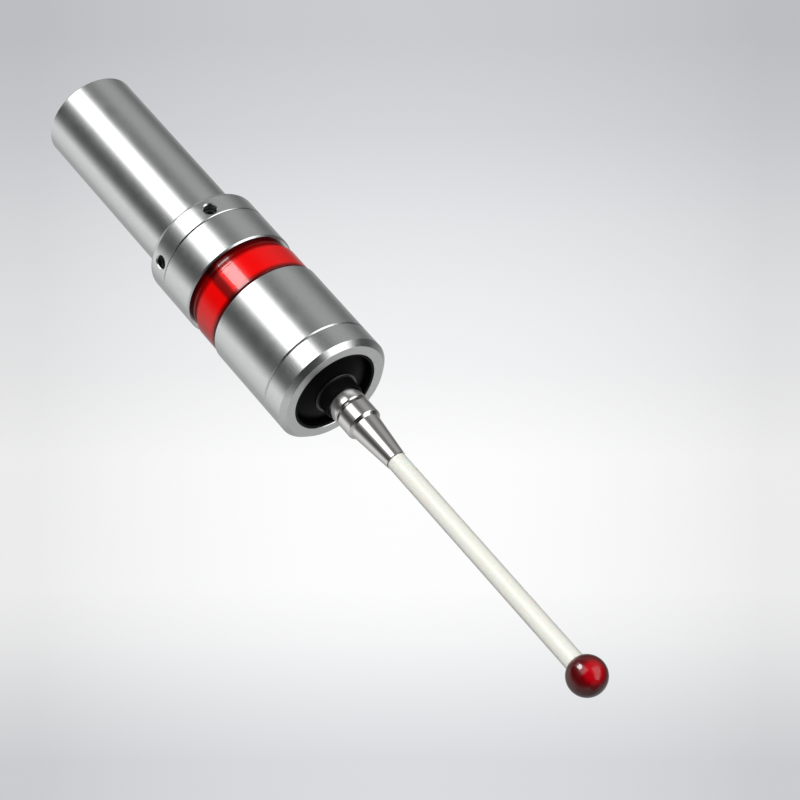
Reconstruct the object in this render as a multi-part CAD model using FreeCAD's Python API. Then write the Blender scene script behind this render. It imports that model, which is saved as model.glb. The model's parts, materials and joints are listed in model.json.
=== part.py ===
import FreeCAD, Part
import math
import os

os.makedirs("parts", exist_ok=True)

# An edge finder for a machine spindle, in millimetres. Its axis is Z. The shank points up and the stylus hangs down.
# Height zero is the shoulder where the shank leaves the collar.

# Outside of the body, from the shank to the nose
shank_radius = 10.0
shank_length = 43.0
shank_chamfer = 0.8
centre_hole_radius = 1.6
centre_hole_depth = 2.8
body_radius = 12.5
collar_bottom = -5.5
collar_fillet = 1.2
rear_housing_bottom = -14.4
ring_bottom = -24.0
front_housing_bottom = -42.0
nose_face = -48.0
nose_chamfer = 1.1
seam_chamfer = 0.15
seam_gap = 0.12
seam_gap_depth = 0.5
lip_chamfer = 0.3
nose_seam_chamfer = 0.25
nose_seam_gap = 0.2
edge_break = 0.1

# Collar joint: a spigot of the rear housing floats in the collar, and set screws centre it
recess_radius = 9.3
recess_top = -0.8
spigot_radius = 8.9
spigot_top = -1.2
screw_count = 5
screw_height = -3.5
screw_radius = 1.35
screw_outer_end = 11.0
screw_start_angle = 63.0
screw_countersink = 0.25
screw_socket_across_flats = 1.5
screw_socket_depth = 1.0

# Clamp screw, a cap screw whose head lies in the battery bay
clamp_head_radius = 3.5
clamp_head_top = -5.4
clamp_thread_radius = 2.0
clamp_tip = 6.6
clamp_hole_radius = 2.25
clamp_pocket_radius = 3.8
clamp_tapped_depth = 9.0
clamp_socket_across_flats = 3.0
clamp_socket_depth = 2.2
bay_top = -9.4

# Light ring: a band between the housings and a threaded spigot at each end
band_radius = 12.2
band_top = -17.3
neck_radius = 11.7
band_fillet = 0.3
border_groove_radius = 11.6
border_groove_width = 0.4
ring_spigot_radius = 10.9
ring_spigot_top = -10.0
ring_spigot_bottom = -27.2
ring_bore_radius = 9.6
seal_wire_radius = 0.45
seal_groove_half_width = 0.55
rear_seal_height = -12.2
front_seal_height = -25.7

# Battery holder and circuit
cell_radius = 5.8
cell_height = 5.4
cell_cap_radius = 4.8
cell_cap_height = 0.6
cell_count = 3
cells_top = -10.6
holder_bore_radius = 5.9
holder_tube_radius = 6.6
holder_flange_radius = 9.3
holder_flange_top = -21.8
holder_flange_bottom = -22.4
holder_floor_radius = 10.85
holder_floor_top = -27.2
holder_floor_bottom = -28.4
terminal_head_radius = 3.0
terminal_head_height = 0.4
terminal_rivet_radius = 0.9
battery_wire_radius = 0.2
battery_spring_small_radius = 2.6
battery_spring_large_radius = 5.0
battery_spring_half_turns = 5
board_radius = 9.45
board_hole_radius = 6.7
board_thickness = 1.0
lamp_count = 6
lamp_width = 2.0
lamp_depth = 1.2
lamp_height = 1.0
lamp_lens_radius = 0.45
chip_size = 1.8
chip_height = 0.7
lead_radius = 0.2
lead_place = 9.3
lead_slot_radius = 0.35
lead_angle = 210.0

# Main spring and its seat
seat_radius = 9.85
seat_hole_radius = 2.5
seat_bottom = -29.4
seat_boss_radius = 4.9
seat_boss_bottom = -30.2
spring_radius = 5.6
spring_wire_radius = 0.25
spring_closed_rise = 0.28
spring_open_half_turns = 5

# Guide sleeve, plunger and their fit
inner_bore_radius = 9.9
sleeve_radius = 9.85
sleeve_bore_radius = 8.45
sleeve_bottom = -44.7
sleeve_flange_radius = 10.25
sleeve_flange_height = 1.2
key_radius = 0.6
key_height = -38.0
key_inner_end = 7.65
key_angle = 45.0
keyway_floor_radius = 7.5
keyway_width = 1.3
keyway_top = -37.2
keyway_bottom = -42.0
plunger_radius = 8.42
plunger_bore_radius = 6.9
plunger_top = -35.4
plunger_roof = -36.6
plunger_chamfer = 0.3

# Gimbal: the ring turns on pins along X, and the stylus holder turns on a pin along Y
pivot_height = -41.0
gimbal_outer_radius = 6.4
gimbal_inner_radius = 4.2
gimbal_height = 3.2
gimbal_chamfer = 0.3
pin_radius = 0.8
running_clearance = 0.03
plunger_pin_start = 4.9
plunger_pin_end = 8.2
cross_pin_half_length = 6.3

# Switch
dome_radius = 3.4
cap_bottom = -38.6
button_radius = 0.7
button_depth = 1.6
contact_pin_radius = 0.6
contact_pin_head_radius = 1.0
contact_pin_head_bottom = -35.0
contact_pin_top = -34.4
bush_radius = 1.3
contact_ring_inner_radius = 7.0
contact_ring_outer_radius = 9.55
contact_ring_top = -44.72
contact_ring_bottom = -45.5
insulator_radius = 10.25
insulator_bore_radius = 9.6
insulator_hole_radius = 7.2
insulator_bottom = -45.9

# Nose cap and its threaded spigot
nose_spigot_radius = 11.3
nose_spigot_top = -37.0
nose_socket_top = -36.7
nose_bore_radius = 10.3
nose_lip_top = -46.9
nose_hole_radius = 9.35
nose_hole_chamfer = 0.12

# Boot
boot_rim_radius = 9.3
boot_rim_inner_radius = 8.8
boot_rim_bottom = -47.85
boot_sheet_outer_height = -46.4
boot_sheet_inner_height = -48.0
boot_sheet_thickness = 0.45
boot_ridge_radius = 4.75
boot_ridge_bottom = -48.4
boot_neck_radius = 4.15
boot_neck_bottom = -51.1
boot_hole_radius = 3.85

# Stylus holder, base, stem and ball
holder_neck_radius = 3.4
holder_shoulder_height = -43.4
spindle_radius = 3.8
spindle_bottom = -53.7
spindle_chamfer = 0.25
stud_radius = 1.8
stud_top = -47.0
stud_hole_top = -46.0
base_neck_radius = 2.7
base_top = -54.25
base_radius = 3.75
base_shoulder = -57.9
base_shoulder_radius = 0.55
cone_top = -58.5
cone_top_radius = 3.15
cone_bottom = -68.5
cone_bottom_radius = 2.15
stem_radius = 2.0
stem_top = -63.5
ball_radius = 4.0
ball_centre = -128.5
stem_bottom = -125.8


def turned(outline):
    """A solid of revolution about Z from corners given as (radius, height)."""
    corners = [FreeCAD.Vector(radius, 0, height) for radius, height in outline]
    corners.append(corners[0])
    face = Part.Face(Part.makePolygon(corners))
    return face.revolve(FreeCAD.Vector(0, 0, 0), FreeCAD.Vector(0, 0, 1), 360)


def disc(radius, top, bottom):
    """A plain cylinder on the axis between two heights."""
    return Part.makeCylinder(radius, top - bottom, FreeCAD.Vector(0, 0, bottom))


def washer(outer_radius, inner_radius, top, bottom):
    return disc(outer_radius, top, bottom).cut(disc(inner_radius, top, bottom))


def rod(radius, start, end):
    """A round bar from one point to another."""
    first = FreeCAD.Vector(*start)
    along = FreeCAD.Vector(*end).sub(first)
    return Part.makeCylinder(radius, along.Length, first, along)


def rim(shape, radius, height):
    """The circular edges of a shape at a radius and a height."""
    found = []
    for edge in shape.Edges:
        curve = edge.Curve
        if not isinstance(curve, Part.Circle):
            continue
        if abs(curve.Radius - radius) < 1e-4 and abs(curve.Center.z - height) < 1e-4:
            found.append(edge)
    return found


def turn(shape, angle):
    """A copy of a shape turned about the axis by an angle in degrees."""
    copy = shape.copy()
    copy.rotate(FreeCAD.Vector(0, 0, 0), FreeCAD.Vector(0, 0, 1), angle)
    return copy


def hexagon(across_flats, length, start, along):
    """A hexagonal bar that starts at a point and runs along a direction."""
    corner_radius = across_flats / math.sqrt(3)
    corners = []
    for step in range(7):
        angle = math.radians(60 * step)
        corners.append(FreeCAD.Vector(corner_radius * math.cos(angle), corner_radius * math.sin(angle), 0))
    bar = Part.Face(Part.makePolygon(corners)).extrude(FreeCAD.Vector(0, 0, length))
    bar.Placement = FreeCAD.Placement(
        FreeCAD.Vector(*start), FreeCAD.Rotation(FreeCAD.Vector(0, 0, 1), FreeCAD.Vector(*along))
    )
    return bar


def lead_slot(top, bottom):
    """The round slot that the sensor lead passes through, between two heights."""
    slot = Part.makeCylinder(lead_slot_radius, top - bottom, FreeCAD.Vector(lead_place, 0, bottom))
    return turn(slot, lead_angle)


def coil(wire_radius, bottom, radii, rises):
    """Round wire wound in half turns that meet without a kink: radii has one more entry than rises."""
    halves = []
    height = bottom
    side = 1
    for number, rise in enumerate(rises):
        start = FreeCAD.Vector(side * radii[number], 0, height)
        end = FreeCAD.Vector(-side * radii[number + 1], 0, height + rise)
        across = end.sub(start)
        axis = FreeCAD.Vector(side * across.z, 0, -side * across.x)
        section = Part.Face(Part.Wire(Part.makeCircle(wire_radius, start, FreeCAD.Vector(0, 1, 0))))
        halves.append(section.revolve(start.add(end).multiply(0.5), axis, 180))
        height += rise
        side = -side
    return halves[0].multiFuse(halves[1:]).removeSplitter()


def make_shank():
    """Shank and collar, turned from one bar and bored from below for the spigot."""
    body = turned([
        (0, shank_length),
        (shank_radius - shank_chamfer, shank_length),
        (shank_radius, shank_length - shank_chamfer),
        (shank_radius, 0),
        (body_radius, 0),
        (body_radius, collar_bottom + seam_chamfer),
        (body_radius - seam_chamfer, collar_bottom),
        (recess_radius, collar_bottom),
        (recess_radius, recess_top),
        (0, recess_top),
    ])
    body = body.makeFillet(collar_fillet, rim(body, body_radius, 0))
    tip = clamp_tapped_depth + clamp_thread_radius * 0.6
    tapped_hole = turned([
        (0, recess_top),
        (clamp_thread_radius, recess_top),
        (clamp_thread_radius, clamp_tapped_depth),
        (0, tip),
    ])
    centre_hole = Part.makeCone(
        0, centre_hole_radius, centre_hole_depth, FreeCAD.Vector(0, 0, shank_length - centre_hole_depth)
    )
    body = body.cut(tapped_hole).cut(centre_hole)
    for number in range(screw_count):
        hole = rod(screw_radius, (recess_radius - 1, 0, screw_height), (body_radius + 1, 0, screw_height))
        sink_depth = screw_countersink + 0.15
        sink = Part.makeCone(
            screw_radius,
            screw_radius + sink_depth,
            sink_depth,
            FreeCAD.Vector(body_radius - screw_countersink, 0, screw_height),
            FreeCAD.Vector(1, 0, 0),
        )
        tool = hole.fuse(sink)
        body = body.cut(turn(tool, screw_start_angle + number * 360 / screw_count))
    return body


def make_adjusting_screws():
    """Set screws that bear on the spigot, each with a hexagon socket."""
    screws = []
    for number in range(screw_count):
        screw = rod(screw_radius, (spigot_radius, 0, screw_height), (screw_outer_end, 0, screw_height))
        screw = screw.makeChamfer(0.25, [edge for edge in screw.Edges if isinstance(edge.Curve, Part.Circle)])
        socket = hexagon(
            screw_socket_across_flats,
            screw_socket_depth,
            (screw_outer_end - screw_socket_depth, 0, screw_height),
            (1, 0, 0),
        )
        screws.append(turn(screw.cut(socket), screw_start_angle + number * 360 / screw_count))
    return Part.makeCompound(screws)


def make_clamp_screw():
    """Cap screw: its head bears on the web of the rear housing, and its thread is in the shank."""
    head = disc(clamp_head_radius, clamp_head_top, bay_top)
    head = head.makeChamfer(0.3, rim(head, clamp_head_radius, bay_top))
    thread = disc(clamp_thread_radius, clamp_tip, clamp_head_top)
    thread = thread.makeChamfer(0.4, rim(thread, clamp_thread_radius, clamp_tip))
    socket = hexagon(clamp_socket_across_flats, clamp_socket_depth, (0, 0, bay_top), (0, 0, 1))
    return head.fuse(thread).removeSplitter().cut(socket)


def make_rear_housing():
    return turned([
        (clamp_hole_radius, spigot_top),
        (spigot_radius - 0.3, spigot_top),
        (spigot_radius, spigot_top - 0.3),
        (spigot_radius, collar_bottom),
        (body_radius - seam_gap_depth, collar_bottom),
        (body_radius - seam_gap_depth, collar_bottom - seam_gap),
        (body_radius - seam_chamfer, collar_bottom - seam_gap),
        (body_radius, collar_bottom - seam_gap - seam_chamfer),
        (body_radius, rear_housing_bottom + lip_chamfer),
        (body_radius - lip_chamfer, rear_housing_bottom),
        (ring_spigot_radius, rear_housing_bottom),
        (ring_spigot_radius, bay_top - 0.4),
        (ring_bore_radius, bay_top - 0.4),
        (ring_bore_radius, bay_top),
        (clamp_pocket_radius, bay_top),
        (clamp_pocket_radius, clamp_head_top),
        (clamp_hole_radius, clamp_head_top),
    ])


def seal_groove(height):
    floor = ring_spigot_radius - 2 * seal_wire_radius
    return washer(
        ring_spigot_radius + 1, floor, height + seal_groove_half_width, height - seal_groove_half_width
    )


def make_light_ring():
    """Translucent ring: a neck and a band between the housings, and a threaded spigot at each end."""
    ring = turned([
        (ring_bore_radius, ring_spigot_top),
        (ring_spigot_radius - 0.3, ring_spigot_top),
        (ring_spigot_radius, ring_spigot_top - 0.3),
        (ring_spigot_radius, rear_housing_bottom),
        (neck_radius, rear_housing_bottom),
        (neck_radius, band_top + (band_radius - neck_radius)),
        (band_radius, band_top),
        (band_radius, ring_bottom + border_groove_width),
        (border_groove_radius, ring_bottom + border_groove_width),
        (border_groove_radius, ring_bottom),
        (ring_spigot_radius, ring_bottom),
        (ring_spigot_radius, ring_spigot_bottom + 0.3),
        (ring_spigot_radius - 0.3, ring_spigot_bottom),
        (ring_bore_radius, ring_spigot_bottom),
    ])
    ring = ring.makeFillet(band_fillet, rim(ring, band_radius, ring_bottom + border_groove_width))
    return ring.cut(seal_groove(rear_seal_height)).cut(seal_groove(front_seal_height))


def make_seal(height):
    middle_radius = ring_spigot_radius - seal_wire_radius
    return Part.makeTorus(middle_radius, seal_wire_radius, FreeCAD.Vector(0, 0, height))


def make_battery_spring():
    """Conical spring between the web of the rear housing and the first cell."""
    bottom = cells_top + battery_wire_radius
    height = bay_top - battery_wire_radius - bottom
    growth = (battery_spring_large_radius - battery_spring_small_radius) / battery_spring_half_turns
    radii = [battery_spring_small_radius + growth * step for step in range(battery_spring_half_turns + 1)]
    rises = [height / battery_spring_half_turns] * battery_spring_half_turns
    return coil(battery_wire_radius, bottom, radii, rises)


def make_button_cell(number):
    top = cells_top - number * cell_height
    can_bottom = top - cell_height + cell_cap_height
    can = disc(cell_radius, top, can_bottom)
    can = can.makeFillet(0.4, rim(can, cell_radius, top) + rim(can, cell_radius, can_bottom))
    cap = disc(cell_cap_radius, can_bottom, top - cell_height)
    cap = cap.makeFillet(0.25, rim(cap, cell_cap_radius, top - cell_height))
    return can.fuse(cap).removeSplitter()


def make_battery_holder():
    """Moulded tube for the cells, with a flange under the circuit board and a floor clamped below the ring."""
    holder = turned([
        (holder_bore_radius, cells_top),
        (holder_tube_radius, cells_top),
        (holder_tube_radius, holder_flange_top),
        (holder_flange_radius, holder_flange_top),
        (holder_flange_radius, holder_flange_bottom),
        (holder_tube_radius, holder_flange_bottom),
        (holder_tube_radius, holder_floor_top),
        (holder_floor_radius, holder_floor_top),
        (holder_floor_radius, holder_floor_bottom),
        (terminal_rivet_radius, holder_floor_bottom),
        (terminal_rivet_radius, holder_floor_top),
        (holder_bore_radius, holder_floor_top),
    ])
    return holder.cut(lead_slot(holder_flange_top, holder_floor_bottom))


def make_front_terminal():
    head = disc(terminal_head_radius, holder_floor_top + terminal_head_height, holder_floor_top)
    rivet = disc(terminal_rivet_radius, holder_floor_top, holder_floor_bottom)
    return head.fuse(rivet).removeSplitter()


def make_circuit_board():
    top = holder_flange_top + board_thickness
    return washer(board_radius, board_hole_radius, top, holder_flange_top)


def make_lamp(number):
    """Side-facing lamp on the board: a package with a half-round lens that points outwards."""
    base = holder_flange_top + board_thickness
    back = board_radius - lamp_depth - lamp_lens_radius
    package = Part.makeBox(lamp_depth, lamp_width, lamp_height, FreeCAD.Vector(back, -lamp_width / 2, base))
    lens = Part.makeCylinder(lamp_lens_radius, lamp_height, FreeCAD.Vector(back + lamp_depth, 0, base))
    return turn(package.fuse(lens).removeSplitter(), number * 360 / lamp_count)


def make_driver_chip():
    base = holder_flange_top + board_thickness
    middle = (board_radius + board_hole_radius) / 2
    corner = FreeCAD.Vector(middle - chip_size / 2, -chip_size / 2, base)
    chip = Part.makeBox(chip_size, chip_size, chip_height, corner)
    return turn(chip, 180 / lamp_count)


def make_sensor_lead():
    lead = rod(lead_radius, (lead_place, 0, holder_flange_top), (lead_place, 0, contact_ring_top))
    return turn(lead, lead_angle)


def make_spring_seat():
    seat = turned([
        (seat_hole_radius, holder_floor_bottom),
        (seat_radius, holder_floor_bottom),
        (seat_radius, seat_bottom),
        (seat_boss_radius, seat_bottom),
        (seat_boss_radius, seat_boss_bottom),
        (seat_hole_radius, seat_boss_bottom),
    ])
    return seat.cut(lead_slot(holder_floor_bottom, seat_bottom))


def make_main_spring():
    """Compression spring between the spring seat and the roof of the plunger, with a closed turn at each end."""
    bottom = plunger_top + spring_wire_radius
    height = seat_bottom - spring_wire_radius - bottom
    open_rise = (height - 4 * spring_closed_rise) / spring_open_half_turns
    closed_turn = [spring_closed_rise] * 2
    rises = closed_turn + [open_rise] * spring_open_half_turns + closed_turn
    radii = [spring_radius] * (len(rises) + 1)
    return coil(spring_wire_radius, bottom, radii, rises)


def make_front_housing():
    """Tube with a socket for the light ring above and a socket for the nose cap below."""
    return turned([
        (ring_spigot_radius, ring_bottom),
        (body_radius - seam_chamfer, ring_bottom),
        (body_radius, ring_bottom - seam_chamfer),
        (body_radius, front_housing_bottom + nose_seam_chamfer),
        (body_radius - nose_seam_chamfer, front_housing_bottom),
        (nose_spigot_radius, front_housing_bottom),
        (nose_spigot_radius, nose_socket_top),
        (inner_bore_radius, nose_socket_top),
        (inner_bore_radius, holder_floor_bottom),
        (ring_spigot_radius, holder_floor_bottom),
    ])


def make_guide_sleeve():
    flange_top = sleeve_bottom + sleeve_flange_height
    sleeve = turned([
        (sleeve_bore_radius, seat_bottom),
        (sleeve_radius, seat_bottom),
        (sleeve_radius, flange_top),
        (sleeve_flange_radius, flange_top),
        (sleeve_flange_radius, sleeve_bottom),
        (sleeve_bore_radius, sleeve_bottom),
    ])
    key_hole = rod(key_radius, (sleeve_bore_radius - 0.5, 0, key_height), (sleeve_radius + 1, 0, key_height))
    return sleeve.cut(lead_slot(seat_bottom, sleeve_bottom)).cut(turn(key_hole, key_angle))


def make_anti_turn_pin():
    pin = rod(key_radius, (key_inner_end, 0, key_height), (sleeve_radius, 0, key_height))
    return turn(pin, key_angle)


def make_plunger():
    """Cup that slides in the guide sleeve and carries the gimbal. A keyway keeps it from turning."""
    cup = turned([
        (bush_radius, plunger_top),
        (plunger_radius - plunger_chamfer, plunger_top),
        (plunger_radius, plunger_top - plunger_chamfer),
        (plunger_radius, sleeve_bottom + plunger_chamfer),
        (plunger_radius - plunger_chamfer, sleeve_bottom),
        (plunger_bore_radius, sleeve_bottom),
        (plunger_bore_radius, plunger_roof),
        (bush_radius, plunger_roof),
    ])
    depth = plunger_radius - keyway_floor_radius + 1
    keyway = Part.makeBox(
        depth,
        keyway_width,
        keyway_top - keyway_bottom,
        FreeCAD.Vector(keyway_floor_radius, -keyway_width / 2, keyway_bottom),
    )
    cup = cup.cut(turn(keyway, key_angle))
    for angle in (0, 180):
        hole = rod(
            pin_radius, (plunger_bore_radius - 1, 0, pivot_height), (plunger_pin_end, 0, pivot_height)
        )
        cup = cup.cut(turn(hole, angle))
    return cup


def make_plunger_pins():
    pins = []
    for angle in (0, 180):
        pin = rod(pin_radius, (plunger_pin_start, 0, pivot_height), (plunger_pin_end, 0, pivot_height))
        pins.append(turn(pin, angle))
    return Part.makeCompound(pins)


def make_gimbal_ring():
    top = pivot_height + gimbal_height / 2
    bottom = pivot_height - gimbal_height / 2
    ring = washer(gimbal_outer_radius, gimbal_inner_radius, top, bottom)
    outer_edges = rim(ring, gimbal_outer_radius, top) + rim(ring, gimbal_outer_radius, bottom)
    ring = ring.makeChamfer(gimbal_chamfer, outer_edges)
    reach = gimbal_outer_radius + 1
    plunger_pin_hole = rod(pin_radius + running_clearance, (-reach, 0, pivot_height), (reach, 0, pivot_height))
    cross_pin_hole = rod(pin_radius, (0, -reach, pivot_height), (0, reach, pivot_height))
    return ring.cut(plunger_pin_hole).cut(cross_pin_hole)


def make_cross_pin():
    return rod(
        pin_radius, (0, -cross_pin_half_length, pivot_height), (0, cross_pin_half_length, pivot_height)
    )


def make_dome():
    """The round top of the stylus holder, centred on the pivot so that it turns under the contact pin."""
    ball = Part.makeSphere(dome_radius, FreeCAD.Vector(0, 0, pivot_height))
    return ball.common(disc(dome_radius + 1, pivot_height + dome_radius + 1, cap_bottom))


def make_stylus_holder():
    """Spindle from the gimbal to below the boot, with a cross hole for the pin and a threaded hole for the base."""
    ball = Part.makeSphere(dome_radius, FreeCAD.Vector(0, 0, pivot_height))
    top = ball.common(disc(dome_radius + 1, cap_bottom, pivot_height))
    spindle = turned([
        (0, pivot_height),
        (holder_neck_radius, pivot_height),
        (holder_neck_radius, holder_shoulder_height),
        (spindle_radius, holder_shoulder_height - 0.4),
        (spindle_radius, spindle_bottom + spindle_chamfer),
        (spindle_radius - spindle_chamfer, spindle_bottom),
        (stud_radius, spindle_bottom),
        (stud_radius, stud_hole_top),
        (0, stud_hole_top + stud_radius * 0.6),
    ])
    reach = spindle_radius + 1
    pin_hole = rod(pin_radius + running_clearance, (0, -reach, pivot_height), (0, reach, pivot_height))
    return top.fuse(spindle).removeSplitter().cut(pin_hole)


def make_insulating_cap():
    button_bottom = pivot_height + dome_radius - button_depth
    return make_dome().cut(disc(button_radius, pivot_height + dome_radius + 1, button_bottom))


def make_contact_button():
    button_bottom = pivot_height + dome_radius - button_depth
    return make_dome().common(disc(button_radius, pivot_height + dome_radius + 1, button_bottom))


def make_contact_pin():
    """Pin in the roof of the plunger whose end just meets the dome."""
    tip = pivot_height + dome_radius + running_clearance
    stem = disc(contact_pin_radius, contact_pin_head_bottom, tip)
    head = disc(contact_pin_head_radius, contact_pin_top, contact_pin_head_bottom)
    return stem.fuse(head).removeSplitter()


def make_contact_bush():
    return washer(bush_radius, contact_pin_radius, contact_pin_head_bottom, plunger_roof)


def make_contact_ring():
    return washer(
        contact_ring_outer_radius, contact_ring_inner_radius, contact_ring_top, contact_ring_bottom
    )


def make_insulating_ring():
    return turned([
        (insulator_bore_radius, sleeve_bottom),
        (insulator_radius, sleeve_bottom),
        (insulator_radius, insulator_bottom),
        (insulator_hole_radius, insulator_bottom),
        (insulator_hole_radius, contact_ring_bottom),
        (insulator_bore_radius, contact_ring_bottom),
    ])


def make_nose_cap():
    return turned([
        (nose_bore_radius, nose_spigot_top),
        (nose_spigot_radius - 0.3, nose_spigot_top),
        (nose_spigot_radius, nose_spigot_top - 0.3),
        (nose_spigot_radius, front_housing_bottom),
        (body_radius - seam_gap_depth, front_housing_bottom),
        (body_radius - seam_gap_depth, front_housing_bottom - nose_seam_gap),
        (body_radius - edge_break, front_housing_bottom - nose_seam_gap),
        (body_radius, front_housing_bottom - nose_seam_gap - edge_break),
        (body_radius, nose_face + nose_chamfer),
        (body_radius - nose_chamfer, nose_face),
        (nose_hole_radius + nose_hole_chamfer, nose_face),
        (nose_hole_radius, nose_face + nose_hole_chamfer),
        (nose_hole_radius, nose_lip_top),
        (nose_bore_radius, nose_lip_top),
    ])


def make_boot():
    """Rubber boot: a bead clamped behind the lip, a rim in the hole, a conical sheet, a ridge and a neck."""
    return turned([
        (insulator_radius, insulator_bottom),
        (insulator_radius, nose_lip_top),
        (boot_rim_radius, nose_lip_top),
        (boot_rim_radius, boot_rim_bottom),
        (boot_rim_inner_radius, boot_rim_bottom),
        (boot_rim_inner_radius, boot_sheet_outer_height),
        (boot_ridge_radius, boot_sheet_inner_height),
        (boot_ridge_radius, boot_ridge_bottom),
        (boot_neck_radius, boot_ridge_bottom),
        (boot_neck_radius, boot_neck_bottom),
        (boot_hole_radius, boot_neck_bottom),
        (boot_hole_radius, boot_sheet_inner_height + boot_sheet_thickness),
        (boot_ridge_radius, boot_sheet_inner_height + boot_sheet_thickness),
        (boot_rim_inner_radius, insulator_bottom),
    ])


def make_stylus_base():
    """Threaded stud, seat, short cylinder with a round shoulder, and a cone that holds the stem."""
    body = turned([
        (0, stud_top),
        (stud_radius - 0.3, stud_top),
        (stud_radius, stud_top - 0.3),
        (stud_radius, spindle_bottom),
        (base_neck_radius, spindle_bottom),
        (base_neck_radius, base_top),
        (base_radius - 0.2, base_top),
        (base_radius, base_top - 0.2),
        (base_radius, base_shoulder),
        (cone_top_radius, cone_top),
        (cone_bottom_radius, cone_bottom),
        (stem_radius, cone_bottom),
        (stem_radius, stem_top),
        (0, stem_top),
    ])
    return body.makeFillet(base_shoulder_radius, rim(body, base_radius, base_shoulder))


def make_ceramic_stem():
    """Straight stem with a hollow end that the ball is glued into."""
    stem = disc(stem_radius, stem_top, stem_bottom)
    return stem.cut(make_ruby_ball())


def make_ruby_ball():
    return Part.makeSphere(ball_radius, FreeCAD.Vector(0, 0, ball_centre))


pieces = {
    "shank": make_shank(),
    "adjusting_screws": make_adjusting_screws(),
    "clamp_screw": make_clamp_screw(),
    "rear_housing": make_rear_housing(),
    "light_ring": make_light_ring(),
    "rear_seal": make_seal(rear_seal_height),
    "front_seal": make_seal(front_seal_height),
    "battery_spring": make_battery_spring(),
    "battery_holder": make_battery_holder(),
    "front_terminal": make_front_terminal(),
    "circuit_board": make_circuit_board(),
    "driver_chip": make_driver_chip(),
    "sensor_lead": make_sensor_lead(),
    "spring_seat": make_spring_seat(),
    "main_spring": make_main_spring(),
    "front_housing": make_front_housing(),
    "guide_sleeve": make_guide_sleeve(),
    "anti_turn_pin": make_anti_turn_pin(),
    "plunger": make_plunger(),
    "plunger_pins": make_plunger_pins(),
    "contact_pin": make_contact_pin(),
    "contact_bush": make_contact_bush(),
    "gimbal_ring": make_gimbal_ring(),
    "cross_pin": make_cross_pin(),
    "stylus_holder": make_stylus_holder(),
    "insulating_cap": make_insulating_cap(),
    "contact_button": make_contact_button(),
    "contact_ring": make_contact_ring(),
    "insulating_ring": make_insulating_ring(),
    "nose_cap": make_nose_cap(),
    "boot": make_boot(),
    "stylus_base": make_stylus_base(),
    "ceramic_stem": make_ceramic_stem(),
    "ruby_ball": make_ruby_ball(),
}
for number in range(cell_count):
    pieces["button_cell_" + str(number + 1)] = make_button_cell(number)
for number in range(lamp_count):
    pieces["lamp_" + str(number + 1)] = make_lamp(number)

for name, shape in pieces.items():
    if not shape.isValid():
        print("not valid:", name)
    shape.exportStep("parts/" + name + ".step")
    print(name, len(shape.Solids), "solid,", round(shape.Volume, 2), "mm3")
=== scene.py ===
import json
import math

import bmesh
import bpy
from mathutils import Matrix, Vector


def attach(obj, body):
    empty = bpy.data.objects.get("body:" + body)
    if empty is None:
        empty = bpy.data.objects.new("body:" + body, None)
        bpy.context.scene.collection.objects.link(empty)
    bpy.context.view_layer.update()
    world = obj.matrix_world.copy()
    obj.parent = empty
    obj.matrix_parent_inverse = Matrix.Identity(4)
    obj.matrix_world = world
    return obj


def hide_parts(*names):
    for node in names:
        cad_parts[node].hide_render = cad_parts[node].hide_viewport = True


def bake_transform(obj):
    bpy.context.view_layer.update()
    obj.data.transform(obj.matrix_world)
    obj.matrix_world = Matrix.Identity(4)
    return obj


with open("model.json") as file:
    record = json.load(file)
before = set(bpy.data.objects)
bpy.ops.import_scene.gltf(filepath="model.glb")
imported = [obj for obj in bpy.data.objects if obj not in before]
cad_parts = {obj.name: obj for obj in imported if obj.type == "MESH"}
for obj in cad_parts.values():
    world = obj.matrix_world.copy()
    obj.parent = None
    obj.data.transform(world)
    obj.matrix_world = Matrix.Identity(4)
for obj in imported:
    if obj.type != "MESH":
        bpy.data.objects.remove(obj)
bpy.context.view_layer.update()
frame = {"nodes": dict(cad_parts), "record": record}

mm = 0.001
nodes = frame["nodes"]
print("frame loaded,", len(nodes), "nodes")


def addNoise(tree, place, size, stretch=(1, 1, 1), detail=2.0):
    squeeze = tree.nodes.new("ShaderNodeMapping")
    squeeze.inputs["Scale"].default_value = stretch
    tree.links.new(place, squeeze.inputs["Vector"])
    noise = tree.nodes.new("ShaderNodeTexNoise")
    noise.inputs["Scale"].default_value = 1 / (size * mm)
    noise.inputs["Detail"].default_value = detail
    tree.links.new(squeeze.outputs["Vector"], noise.inputs["Vector"])
    return noise.outputs["Fac"]


def addRange(tree, value, low, high):
    spread = tree.nodes.new("ShaderNodeMapRange")
    spread.inputs["From Min"].default_value = 0.3
    spread.inputs["From Max"].default_value = 0.7
    spread.inputs["To Min"].default_value = low
    spread.inputs["To Max"].default_value = high
    tree.links.new(value, spread.inputs["Value"])
    return spread.outputs["Result"]


def addTint(tree, value, first, second):
    tint = tree.nodes.new("ShaderNodeMix")
    tint.data_type = "RGBA"
    tint.inputs["A"].default_value = (*first, 1)
    tint.inputs["B"].default_value = (*second, 1)
    tree.links.new(value, tint.inputs["Factor"])
    return tint.outputs["Result"]


def addBump(tree, value, depth, under=None):
    bump = tree.nodes.new("ShaderNodeBump")
    bump.inputs["Distance"].default_value = depth * mm
    tree.links.new(value, bump.inputs["Height"])
    if under is not None:
        tree.links.new(under, bump.inputs["Normal"])
    return bump.outputs["Normal"]


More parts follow.
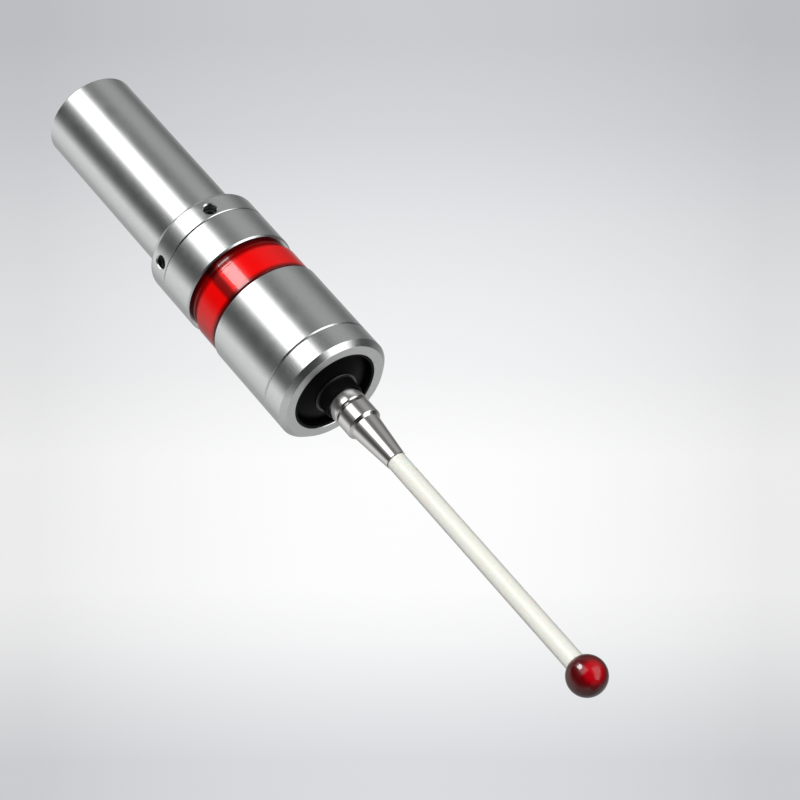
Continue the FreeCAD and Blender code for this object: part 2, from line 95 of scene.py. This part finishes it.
def makeFinish(name, look):
    # clouds vary the colour and the gloss, grain is a fine speckle, lines run round the tool's axis
    material = bpy.data.materials.new(name)
    material.use_nodes = True
    tree = material.node_tree
    shader = tree.nodes["Principled BSDF"]
    place = tree.nodes.new("ShaderNodeTexCoord").outputs["Object"]
    clouds = addNoise(tree, place, look.get("cloudSize", 3.0))
    grain = addNoise(tree, place, look.get("grainSize", 0.2))
    tree.links.new(addTint(tree, grain, look["colour"], look["shade"]), shader.inputs["Base Color"])
    tree.links.new(addRange(tree, clouds, *look["roughness"]), shader.inputs["Roughness"])
    normal = addBump(tree, grain, look.get("grainDepth", 0.001))
    if "lineSize" in look:
        lines = addNoise(tree, place, look["lineSize"], (0.02, 0.02, 1))
        normal = addBump(tree, lines, look["lineDepth"], normal)
    tree.links.new(normal, shader.inputs["Normal"])
    for socket, value in look.get("sockets", {}).items():
        shader.inputs[socket].default_value = value
    return material


finishLooks = {
    "satin_steel": {
        "colour": (0.69, 0.7, 0.7), "shade": (0.52, 0.53, 0.53), "roughness": (0.2, 0.25),
        "grainSize": 0.25, "grainDepth": 0.008, "lineSize": 0.12, "lineDepth": 0.0006,
        "sockets": {"Metallic": 1.0},
    },
    "polished_steel": {
        "colour": (0.66, 0.65, 0.64), "shade": (0.58, 0.57, 0.56), "roughness": (0.1, 0.16),
        "grainSize": 0.3, "grainDepth": 0.001, "lineSize": 0.15, "lineDepth": 0.001,
        "sockets": {"Metallic": 1.0},
    },
    "hardened_steel": {
        "colour": (0.5, 0.5, 0.49), "shade": (0.42, 0.42, 0.41), "roughness": (0.2, 0.3),
        "grainSize": 0.2, "lineSize": 0.1, "lineDepth": 0.001, "sockets": {"Metallic": 1.0},
    },
    "spring_steel": {
        "colour": (0.48, 0.47, 0.45), "shade": (0.4, 0.39, 0.37), "roughness": (0.22, 0.35),
        "grainSize": 0.15, "sockets": {"Metallic": 1.0},
    },
    "cell_steel": {
        "colour": (0.7, 0.7, 0.68), "shade": (0.6, 0.6, 0.58), "roughness": (0.25, 0.35),
        "grainSize": 0.3, "sockets": {"Metallic": 1.0},
    },
    "black_steel": {
        "colour": (0.02, 0.02, 0.022), "shade": (0.012, 0.012, 0.013), "roughness": (0.45, 0.6),
        "grainSize": 0.15, "sockets": {"Metallic": 0.0},
    },
    "red_translucent": {
        "colour": (0.85, 0.0, 0.0), "shade": (0.8, 0.0, 0.0), "roughness": (0.1, 0.14),
        "grainSize": 2.5, "grainDepth": 0.001,
        "sockets": {"IOR": 1.45, "Transmission Weight": 0.02},
    },
    "black_rubber": {
        "colour": (0.002, 0.002, 0.002), "shade": (0.004, 0.004, 0.004), "roughness": (0.4, 0.5),
        "grainSize": 0.12, "grainDepth": 0.003, "sockets": {"Specular IOR Level": 0.06},
    },
    "black_plastic": {
        "colour": (0.015, 0.015, 0.015), "shade": (0.03, 0.03, 0.03), "roughness": (0.4, 0.55),
        "grainSize": 0.2, "grainDepth": 0.003,
    },
    "white_plastic": {
        "colour": (0.8, 0.8, 0.78), "shade": (0.72, 0.72, 0.7), "roughness": (0.4, 0.5),
        "grainSize": 0.3, "grainDepth": 0.002,
    },
    "board_green": {
        "colour": (0.02, 0.16, 0.05), "shade": (0.015, 0.12, 0.04), "roughness": (0.3, 0.4),
        "grainSize": 0.4, "grainDepth": 0.002,
    },
    "brass": {
        "colour": (0.78, 0.56, 0.24), "shade": (0.7, 0.49, 0.2), "roughness": (0.2, 0.3),
        "grainSize": 0.2, "lineSize": 0.1, "lineDepth": 0.001, "sockets": {"Metallic": 1.0},
    },
    "red_lamp": {
        "colour": (0.7, 0.02, 0.015), "shade": (0.6, 0.015, 0.01), "roughness": (0.15, 0.2),
        "grainSize": 0.3, "sockets": {"Transmission Weight": 0.3},
    },
    "ivory_ceramic": {
        "colour": (0.85, 0.85, 0.78), "shade": (0.81, 0.81, 0.73), "roughness": (0.2, 0.28),
        "grainSize": 0.4, "grainDepth": 0.001, "lineSize": 0.5, "lineDepth": 0.0006,
        "sockets": {"Subsurface Weight": 0.15, "Subsurface Scale": 0.001},
    },
    "ruby": {
        "colour": (0.6, 0.0, 0.008), "shade": (0.52, 0.0, 0.006), "roughness": (0.05, 0.07),
        "grainSize": 1.5, "grainDepth": 0.0002,
        "sockets": {"IOR": 1.6, "Transmission Weight": 0.1, "Specular IOR Level": 0.25},
    },
}
finishes = {name: makeFinish(name, look) for name, look in finishLooks.items()}

def addColours(tree, value, stops):
    ramp = tree.nodes.new("ShaderNodeValToRGB")
    while len(ramp.color_ramp.elements) < len(stops):
        ramp.color_ramp.elements.new(0.5)
    for element, (position, colour) in zip(ramp.color_ramp.elements, stops):
        element.position = position
        element.color = (*colour, 1)
    tree.links.new(value, ramp.inputs["Fac"])
    return ramp.outputs["Color"]


def addShades(tree, value, stops):
    return addColours(tree, value, [(position, (strength,) * 3) for position, strength in stops])


def addMath(tree, operation, *values):
    # each value is a number or the output of another node
    step = tree.nodes.new("ShaderNodeMath")
    step.operation = operation
    for socket, value in zip(step.inputs, values):
        if isinstance(value, (int, float)):
            socket.default_value = value
        else:
            tree.links.new(value, socket)
    return step.outputs["Value"]


def addDot(tree, place, direction):
    dot = tree.nodes.new("ShaderNodeVectorMath")
    dot.operation = "DOT_PRODUCT"
    dot.inputs[1].default_value = direction
    tree.links.new(place, dot.inputs[0])
    return dot.outputs["Value"]


def addRadial(tree, place, turn):
    # runs from 0 to 1 once round the tool's axis
    turned = tree.nodes.new("ShaderNodeMapping")
    turned.inputs["Rotation"].default_value = (0, 0, turn)
    tree.links.new(place, turned.inputs["Vector"])
    around = tree.nodes.new("ShaderNodeTexGradient")
    around.gradient_type = "RADIAL"
    tree.links.new(turned.outputs["Vector"], around.inputs["Vector"])
    return around.outputs["Fac"]


def addSpan(tree, value, low, high):
    # 0 at low and 1 at high, and no further
    span = tree.nodes.new("ShaderNodeMapRange")
    span.inputs["From Min"].default_value = low
    span.inputs["From Max"].default_value = high
    tree.links.new(value, span.inputs["Value"])
    return span.outputs["Result"]


def heightShare(tree, place, look):
    split = tree.nodes.new("ShaderNodeSeparateXYZ")
    tree.links.new(place, split.inputs[0])
    return addSpan(tree, split.outputs["Z"], look["top"] * mm, look["bottom"] * mm)


def multiply(tree, first, second):
    product = tree.nodes.new("ShaderNodeMix")
    product.data_type = "RGBA"
    product.blend_type = "MULTIPLY"
    product.inputs["Factor"].default_value = 1
    tree.links.new(first, product.inputs["A"])
    tree.links.new(second, product.inputs["B"])
    return product.outputs["Result"]


def darken(material, shades):
    tree = material.node_tree
    colour = tree.nodes["Principled BSDF"].inputs["Base Color"]
    tree.links.new(multiply(tree, colour.links[0].from_socket, shades), colour)


ringShade = {
    "top": -14.4, "bottom": -24.0,
    # painted shade: the red is darkened at the neck and towards the front edge, standing in for the shade of
    # the recessed neck and the metal seen behind the plastic:
    # (share of its height, strength of the red)
    "depth": [(0.0, 0.05), (0.06, 0.08), (0.12, 0.17), (0.17, 0.27), (0.22, 0.45), (0.27, 0.88), (0.32, 1.0),
              (0.82, 1.0), (0.85, 0.85), (0.9, 0.32), (0.93, 0.17), (1.0, 0.05)],
    # the neck between the housings is dull, but for a thin polished line round it
    "gloss": [(0.0, 0.005), (0.085, 0.01), (0.1, 0.2), (0.125, 0.2), (0.14, 0.01), (0.2, 0.02), (0.23, 0.25),
              (1.0, 0.25)],
    # a painted dark streak across the band at one angle round the axis, standing in for shade beside the
    # highlight: (degrees round the axis, strength of the red)
    "paintedDarkStreak": [(233.0, 1.0), (236.5, 0.25), (243.0, 0.25), (246.0, 1.0)],
}


def shadeRing(material):
    tree = material.node_tree
    place = tree.nodes.new("ShaderNodeTexCoord").outputs["Object"]
    share = heightShare(tree, place, ringShade)
    # painted shade: darker red by height on the ring
    darken(material, addShades(tree, share, ringShade["depth"]))
    gloss = addShades(tree, share, ringShade["gloss"])
    tree.links.new(gloss, tree.nodes["Principled BSDF"].inputs["Specular IOR Level"])
    # painted shade: a dark streak at one angle round the axis
    paintedStreakStops = [(angle / 360, strength) for angle, strength in ringShade["paintedDarkStreak"]]
    darken(material, addShades(tree, addRadial(tree, place, math.pi), paintedStreakStops))


darkJunctionLine = {"top": -68.45, "bottom": -69.0, "shades": [(0.0, 0.18), (0.35, 0.22), (0.6, 1.0), (1.0, 1.0)]}


def darkenJunctionLine(material):
    # a hair line of darker colour on the ceramic where it leaves the cone
    tree = material.node_tree
    place = tree.nodes.new("ShaderNodeTexCoord").outputs["Object"]
    darken(material, addShades(tree, heightShare(tree, place, darkJunctionLine), darkJunctionLine["shades"]))


turnedFace = {"top": -47.93, "bottom": -47.98, "extraRoughness": 0.22}


def roughenFace(material):
    # the flat face of the nose is left as it was turned, duller than the ground outside
    tree = material.node_tree
    place = tree.nodes.new("ShaderNodeTexCoord").outputs["Object"]
    share = heightShare(tree, place, turnedFace)
    roughness = tree.nodes["Principled BSDF"].inputs["Roughness"]
    ground = roughness.links[0].from_socket
    tree.links.new(addMath(tree, "MULTIPLY_ADD", share, turnedFace["extraRoughness"], ground), roughness)


# painted light on the ruby: side is the lit direction, the shades run from the dark side to the lit side
rubyPaintedLight = {
    "centre": -128.5, "radius": 4.0, "side": (0.18, -0.86, -0.48),
    "shades": [(0.0, 0.13), (0.6, 0.16), (0.78, 0.3), (0.9, 0.9), (1.0, 1.0)],
}


def paintLightOnRuby(material):
    # painted light: the stone's red is kept bright on the side towards the light and darkened on the side
    # away from it
    tree = material.node_tree
    place = tree.nodes.new("ShaderNodeTexCoord").outputs["Object"]
    fromCentre = tree.nodes.new("ShaderNodeVectorMath")
    fromCentre.operation = "SUBTRACT"
    fromCentre.inputs[1].default_value = (0, 0, rubyPaintedLight["centre"] * mm)
    tree.links.new(place, fromCentre.inputs[0])
    side = Vector(rubyPaintedLight["side"]).normalized() / (rubyPaintedLight["radius"] * mm)
    towards = addDot(tree, fromCentre.outputs["Vector"], side)
    darken(material, addShades(tree, towards, rubyPaintedLight["shades"]))


ridgeShine = {
    "top": -48.2, "bottom": -48.5,
    "gloss": [(0.0, 0.06), (0.28, 0.06), (0.33, 1.0), (0.7, 1.0), (0.75, 0.06)],
}


def shineRidge(material):
    # the boot's ridge has a thin rubbed edge
    tree = material.node_tree
    place = tree.nodes.new("ShaderNodeTexCoord").outputs["Object"]
    gloss = addShades(tree, heightShare(tree, place, ridgeShine), ridgeShine["gloss"])
    tree.links.new(gloss, tree.nodes["Principled BSDF"].inputs["Specular IOR Level"])


shadeRing(finishes["red_translucent"])
darkenJunctionLine(finishes["ivory_ceramic"])
roughenFace(finishes["satin_steel"])
paintLightOnRuby(finishes["ruby"])
shineRidge(finishes["black_rubber"])

slotOf = {part["node"]: part["material_slot"] for part in frame["record"]["subparts"]}
for name, node in nodes.items():
    node.data.materials.clear()
    node.data.materials.append(finishes[slotOf[name]])
print("finishes on the frame")


def spinProfile(name, points, steps=128):
    # a closed outline of (radius, height) in millimetres, spun round the tool's axis
    bm = bmesh.new()
    corners = [bm.verts.new((radius * mm, 0, height * mm)) for radius, height in points]
    edges = [bm.edges.new((a, b)) for a, b in zip(corners, corners[1:] + corners[:1])]
    bmesh.ops.spin(bm, geom=corners + edges, axis=(0, 0, 1), cent=(0, 0, 0), angle=math.tau,
                   steps=steps, use_merge=True)
    bmesh.ops.remove_doubles(bm, verts=bm.verts, dist=0.001 * mm)
    bmesh.ops.recalc_face_normals(bm, faces=bm.faces)
    return finishPiece(name, bm)


def finishPiece(name, bm, sharp=35):
    mesh = bpy.data.meshes.new(name)
    bm.to_mesh(mesh)
    bm.free()
    mesh.shade_smooth()
    mesh.set_sharp_from_angle(angle=math.radians(sharp))
    piece = bpy.data.objects.new(name, mesh)
    bpy.context.scene.collection.objects.link(piece)
    return piece


def dress(piece, finish):
    piece.data.materials.append(finishes[finish])
    return piece


boot = {
    "rim": [(8.8, -46.25), (9.3, -46.25), (9.3, -47.75), (9.22, -47.85), (8.9, -47.85), (8.8, -47.75)],
    "sheetTop": (8.82, -46.28), "sheetFoot": (4.72, -47.86),
    "thickness": 0.28,
    "slideEnd": 0.5, "firstTiltEnd": 0.74,
    "neck": [(3.85, -47.5), (4.3, -47.5), (4.72, -47.72), (4.75, -48.3), (4.68, -48.4), (4.3, -48.4),
             (4.15, -48.55), (4.15, -50.95), (4.0, -51.1), (3.85, -51.1)],
}


def sheetPoint(share, side):
    # share runs from the rim to the neck, side is +1 on the upper face and -1 on the lower one
    (r0, z0), (r1, z1) = boot["sheetTop"], boot["sheetFoot"]
    return (r0 + (r1 - r0) * share, z0 + (z1 - z0) * share + side * boot["thickness"] / 2)


def sheetRing(name, first, last, rows=6):
    shares = [first + (last - first) * row / rows for row in range(rows + 1)]
    upper = [sheetPoint(share, 1) for share in shares]
    lower = [sheetPoint(share, -1) for share in reversed(shares)]
    return spinProfile(name, upper + lower)


rim = dress(spinProfile("boot_rim", boot["rim"]), "black_rubber")
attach(rim, "housing")
neck = dress(spinProfile("boot_neck", boot["neck"]), "black_rubber")
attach(neck, "stylus")
bends = [("boot_slide", 0, boot["slideEnd"], "housing", "plunger"),
         ("boot_tilt_x", boot["slideEnd"], boot["firstTiltEnd"], "plunger", "gimbal"),
         ("boot_tilt_y", boot["firstTiltEnd"], 1, "gimbal", "stylus")]
for name, first, last, outerBody, innerBody in bends:
    ring = dress(sheetRing(name, first, last), "black_rubber")
    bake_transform(ring)
    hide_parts("boot")
print("boot")


spring = {
    "radius": 5.6, "wire": 0.25, "top": -29.65, "bottom": -35.15,
    "endRise": 0.28,  # of each half of a closed end turn
    "openTurns": 2.5, "stepsPerTurn": 40, "wireSides": 10,
    "stillEnd": 0.3,
}


def makeSpring(name, shape):
    bm = bmesh.new()
    foot = Matrix.Translation((shape["radius"] * mm, 0, shape["bottom"] * mm))
    standing = foot @ Matrix.Rotation(math.radians(90), 4, "X")
    bmesh.ops.create_circle(bm, cap_ends=True, segments=shape["wireSides"], radius=shape["wire"] * mm,
                            matrix=standing)
    endRise = 2 * shape["endRise"]
    openRise = (shape["top"] - shape["bottom"] - 2 * endRise) / shape["openTurns"]
    tip = list(bm.faces)
    for turns, rise in ((1, endRise), (shape["openTurns"], openRise), (1, endRise)):
        steps = round(turns * shape["stepsPerTurn"])
        made = bmesh.ops.spin(bm, geom=tip, cent=(0, 0, 0), axis=(0, 0, 1), angle=math.tau * turns,
                              dvec=(0, 0, rise * turns / steps * mm), steps=steps)
        tip = [item for item in made["geom_last"] if isinstance(item, bmesh.types.BMFace)]
    bmesh.ops.remove_doubles(bm, verts=bm.verts, dist=0.0001 * mm)
    bmesh.ops.recalc_face_normals(bm, faces=bm.faces)
    return finishPiece(name, bm)


coil = dress(makeSpring("spring_coil", spring), "spring_steel")
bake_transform(coil)
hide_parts("main_spring")
print("main spring")


camera = {
    "place": (-0.14621, -0.47683, -0.35089), "lookAt": (0.007889, -0.002563, -0.05913), "roll": -42.01,
    "lens": 134.68, "sensor": 36, "nearest": 0.01, "farthest": 20,
}

cameraData = bpy.data.cameras.new("camera")
cameraData.lens = camera["lens"]
cameraData.sensor_width = camera["sensor"]
cameraData.clip_start = camera["nearest"]
cameraData.clip_end = camera["farthest"]
cameraObject = bpy.data.objects.new("camera", cameraData)
bpy.context.scene.collection.objects.link(cameraObject)
ahead = Vector(camera["lookAt"]) - Vector(camera["place"])
aim = ahead.to_track_quat("-Z", "Y").to_matrix().to_4x4()
roll = Matrix.Rotation(math.radians(camera["roll"]), 4, "Z")
cameraObject.matrix_world = Matrix.Translation(camera["place"]) @ aim @ roll
bpy.context.scene.camera = cameraObject
print("camera")


studio = {
    "floorHeight": -2.0, "floorSize": 8,
    "tentRadius": 0.9, "tentLow": -1.99, "tentHigh": 2.0, "tentSides": 128,
    "facing": -107.0,
    # light printed on the tent by the angle from the facing direction: (degrees, strength)
    "upperLight": [(-170, 0.5), (-150, 0.44), (-135, 0.5), (-120, 0.74), (-100, 0.95), (-84, 1.05),
                   (-72, 0.5), (-62, 0.16), (-48, 0.09), (-34, 0.16), (-19, 0.5), (-8, 3.0), (17, 3.0),
                   (27, 0.5), (36, 0.24), (48, 0.26), (70, 0.5), (92, 0.48), (110, 0.3), (124, 0.2),
                   (136, 0.22), (160, 0.45), (175, 0.5)],
    "lowerLight": [(-170, 0.65), (-150, 0.5), (-120, 0.65), (-88, 0.75), (-74, 0.4), (-62, 0.16),
                   (-45, 0.08), (-30, 0.035), (14, 0.035), (30, 0.12), (42, 0.5), (50, 2.4), (84, 2.4),
                   (93, 0.5), (103, 0.12), (112, 0.06), (126, 0.1), (140, 0.3), (158, 0.6), (175, 0.7)],
    "storeyTop": -0.05, "storeyBottom": -0.28,  # the upper light fades into the lower one between these
    "floorColour": (0.8, 0.8, 0.81, 1), "floorRoughness": 0.8,
}


def lightPathMix(tree, camera, other):
    # the first shader is what the camera and mirrors see, the second is what lights dull surfaces
    path = tree.nodes.new("ShaderNodeLightPath")
    seen = addMath(tree, "MAXIMUM", path.outputs["Is Camera Ray"], path.outputs["Is Glossy Ray"])
    both = addMath(tree, "MAXIMUM", seen, path.outputs["Is Transmission Ray"])
    mix = tree.nodes.new("ShaderNodeMixShader")
    tree.links.new(both, mix.inputs["Fac"])
    tree.links.new(other, mix.inputs[1])
    tree.links.new(camera, mix.inputs[2])
    return mix.outputs["Shader"]


backdrop = {
    # seen from the bottom of the view to its top: (share, brightness)
    "stops": [(0.0, 0.71), (0.07, 0.79), (0.166, 0.92), (0.24, 0.985), (0.42, 0.99), (0.54, 0.9),
              (0.64, 0.855), (0.74, 0.79), (0.875, 0.672), (1.0, 0.6)],
    "coolness": (-0.03, 0.0, 0.11), "sideLoss": 0.15, "reach": 0.12,
    "roomLight": 0.22, "roomColour": (0.97, 0.98, 1.0, 1),
}

world = bpy.data.worlds.new("studio")
bpy.context.scene.world = world
world.use_nodes = True
tree = world.node_tree
tree.nodes.clear()
direction = tree.nodes.new("ShaderNodeTexCoord")
cameraTurn = cameraObject.matrix_world.to_3x3()
upward = addDot(tree, direction.outputs["Generated"], cameraTurn @ Vector((0, 1, 0)))
height = addSpan(tree, upward, -backdrop["reach"], backdrop["reach"])
shades = [(position, [level * (1 + (1 - level) * tint) for tint in backdrop["coolness"]])
          for position, level in backdrop["stops"]]
sideways = addDot(tree, direction.outputs["Generated"], cameraTurn @ Vector((1 / backdrop["reach"], 0, 0)))
squared = addMath(tree, "MULTIPLY", sideways, sideways)
level = addMath(tree, "MULTIPLY_ADD", squared, -backdrop["sideLoss"], 1)
pale = tree.nodes.new("ShaderNodeBackground")
tree.links.new(addColours(tree, height, shades), pale.inputs["Color"])
tree.links.new(addMath(tree, "MAXIMUM", level, 1 - backdrop["sideLoss"]), pale.inputs["Strength"])
room = tree.nodes.new("ShaderNodeBackground")
room.inputs["Color"].default_value = backdrop["roomColour"]
room.inputs["Strength"].default_value = backdrop["roomLight"]
output = tree.nodes.new("ShaderNodeOutputWorld")
tree.links.new(lightPathMix(tree, pale.outputs[0], room.outputs[0]), output.inputs["Surface"])

bm = bmesh.new()
bmesh.ops.create_grid(bm, x_segments=1, y_segments=1, size=studio["floorSize"] / 2,
                      matrix=Matrix.Translation((0, 0, studio["floorHeight"])))
floor = finishPiece("floor", bm)
floorPaint = bpy.data.materials.new("floor paint")
floorPaint.use_nodes = True
floorShader = floorPaint.node_tree.nodes["Principled BSDF"]
floorShader.inputs["Base Color"].default_value = studio["floorColour"]
floorShader.inputs["Roughness"].default_value = studio["floorRoughness"]
floor.data.materials.append(floorPaint)

bm = bmesh.new()
bmesh.ops.create_circle(bm, segments=studio["tentSides"], radius=studio["tentRadius"])
bmesh.ops.translate(bm, verts=bm.verts, vec=(0, 0, studio["tentLow"]))
walls = bmesh.ops.extrude_edge_only(bm, edges=bm.edges)
upperEdge = [item for item in walls["geom"] if isinstance(item, bmesh.types.BMVert)]
bmesh.ops.translate(bm, verts=upperEdge, vec=(0, 0, studio["tentHigh"] - studio["tentLow"]))
tent = finishPiece("light_tent", bm)
tentPaint = bpy.data.materials.new("light tent")
tentPaint.use_nodes = True
tree = tentPaint.node_tree
tree.nodes.clear()
place = tree.nodes.new("ShaderNodeTexCoord")
around = addRadial(tree, place.outputs["Object"], math.radians(-studio["facing"]))
brightest = max(strength for angle, strength in studio["upperLight"] + studio["lowerLight"])


def printLight(tree, value, stops):
    return addShades(tree, value, [((angle + 180) / 360, strength / brightest) for angle, strength in stops])


heights = tree.nodes.new("ShaderNodeSeparateXYZ")
tree.links.new(place.outputs["Object"], heights.inputs[0])
both = tree.nodes.new("ShaderNodeMix")
both.data_type = "RGBA"
storey = addSpan(tree, heights.outputs["Z"], studio["storeyTop"], studio["storeyBottom"])
tree.links.new(storey, both.inputs["Factor"])
tree.links.new(printLight(tree, around, studio["upperLight"]), both.inputs["A"])
tree.links.new(printLight(tree, around, studio["lowerLight"]), both.inputs["B"])
glow = tree.nodes.new("ShaderNodeEmission")
glow.inputs["Strength"].default_value = brightest
tree.links.new(both.outputs["Result"], glow.inputs["Color"])
output = tree.nodes.new("ShaderNodeOutputMaterial")
tree.links.new(glow.outputs[0], output.inputs["Surface"])
tent.data.materials.append(tentPaint)
tent.visible_camera = False
tent.visible_diffuse = False
tent.visible_shadow = False


lamps = {
    "key": {"place": (-0.1, -0.85, -0.1), "target": (0, 0, -0.06), "size": 0.5, "power": 7.3},
    "fill": {"place": (-0.8, 0.1, -0.1), "target": (0, 0, -0.06), "size": 0.6, "power": 0.3},
    # the tall window that the red pieces mirror
    "window": {"place": (-0.18, -0.78, 0.46), "target": (0, 0, -0.02), "size": 0.35, "power": 13},
}
windowHeight = 0.6


def addLamp(name):
    look = lamps[name]
    data = bpy.data.lights.new(name, "AREA")
    data.shape = "DISK"
    data.size = look["size"]
    data.energy = look["power"]
    lamp = bpy.data.objects.new(name, data)
    lamp.location = look["place"]
    towards = Vector(look["target"]) - Vector(look["place"])
    lamp.rotation_euler = towards.to_track_quat("-Z", "Y").to_euler()
    lamp.visible_glossy = False
    bpy.context.scene.collection.objects.link(lamp)
    return lamp


addLamp("key")
addLamp("fill")
window = addLamp("window")
window.data.shape = "RECTANGLE"
window.data.size_y = windowHeight
window.visible_glossy = True
window.visible_diffuse = False
window.visible_camera = False
window.visible_transmission = False
redPieces = bpy.data.collections.new("red pieces")
for name in ("light_ring", "ruby_ball"):
    redPieces.objects.link(nodes[name])
window.light_linking.receiver_collection = redPieces
print("studio")

bpy.context.scene.view_settings.view_transform = "Standard"
